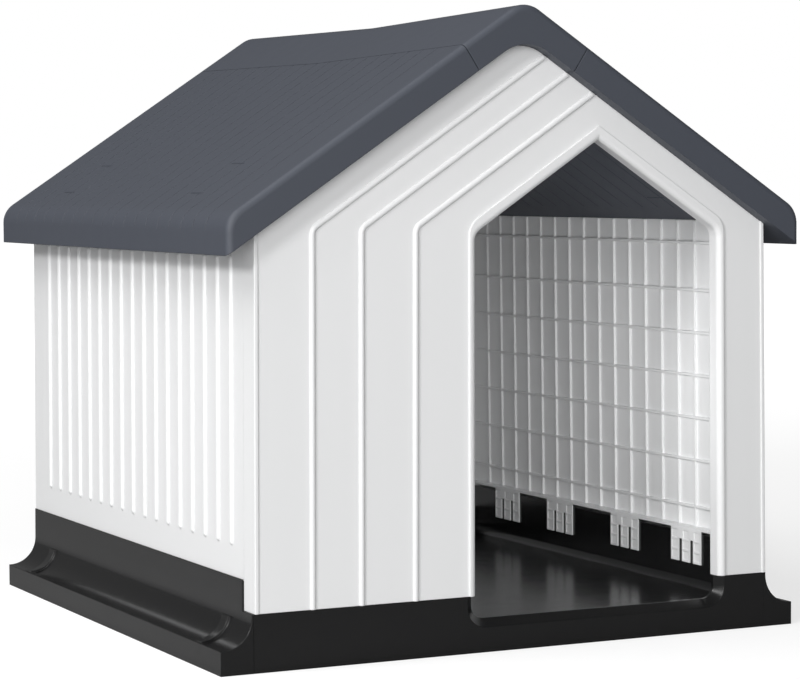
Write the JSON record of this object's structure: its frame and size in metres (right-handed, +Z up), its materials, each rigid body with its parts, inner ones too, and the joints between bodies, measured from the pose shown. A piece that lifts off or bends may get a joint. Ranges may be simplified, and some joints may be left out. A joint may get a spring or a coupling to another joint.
{
  "type": "dog house",
  "caption": "Plastic dog house with a gable roof, an off-centre peaked doorway, ribbed side walls, a floor tray and flared side trims. The roof lifts off.",
  "frame": {"origin": "on the ground, under the centre of the house", "axes": "+Z up, -Y out of the doorway, +X to the right of a person who looks into the doorway"},
  "size_m": [0.7078, 0.7626, 0.702],
  "materials": {
    "white_plastic": "satin moulded polypropylene, white",
    "roof_plastic": "satin moulded polypropylene, blue grey",
    "base_plastic": "semi-gloss moulded polypropylene, near black"
  },
  "bodies": {
    "house": {"floor_tray": "base_plastic", "left_skirt": "base_plastic", "right_skirt": "base_plastic", "front_wall": "white_plastic", "rear_wall": "white_plastic", "left_wall": "white_plastic", "right_wall": "white_plastic"},
    "roof": {"left_roof_panel": "roof_plastic", "right_roof_panel": "roof_plastic", "ridge_cap": "roof_plastic"}
  },
  "joints": [
    {"name": "roof_lift", "type": "slide", "parent": "house", "child": "roof", "axis": [0, 0, 1], "range_m": [0, 0.3]}
  ]
}
